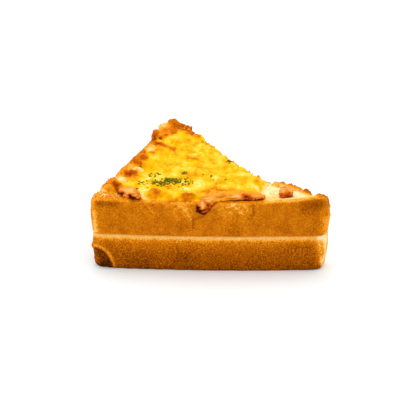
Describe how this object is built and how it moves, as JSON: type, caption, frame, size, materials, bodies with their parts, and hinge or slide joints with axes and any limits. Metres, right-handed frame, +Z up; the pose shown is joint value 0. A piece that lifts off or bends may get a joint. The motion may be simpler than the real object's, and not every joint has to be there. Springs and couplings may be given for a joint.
{
  "type": "ham and cheese toast",
  "caption": "Diagonal half of a thick-sliced toast: two stacked slices of white loaf, topped with baked cheese, ham and parsley.",
  "frame": {"origin": "centre of the bounding box, on the underside that the toast rests on", "axes": "+Z up; the long front crust faces -Y, the left crust side runs back from it, and the cut side faces +X and +Y"},
  "size_m": [0.1216, 0.1243, 0.0433],
  "materials": {
    "crust": "golden brown baked crust, matte and finely speckled",
    "crumb": "pale toasted crumb, matte, open pores",
    "cheese": "melted yellow cheese, slightly glossy, browned in places",
    "ham": "baked pink-brown ham, slightly moist",
    "parsley": "dried dark green parsley flakes"
  },
  "bodies": {
    "root": {"bread_lower": "crust", "bread_upper": "crust", "cheese": "cheese", "ham_front": "ham", "ham_left": "ham", "ham_cube": "ham"}
  },
  "joints": []
}
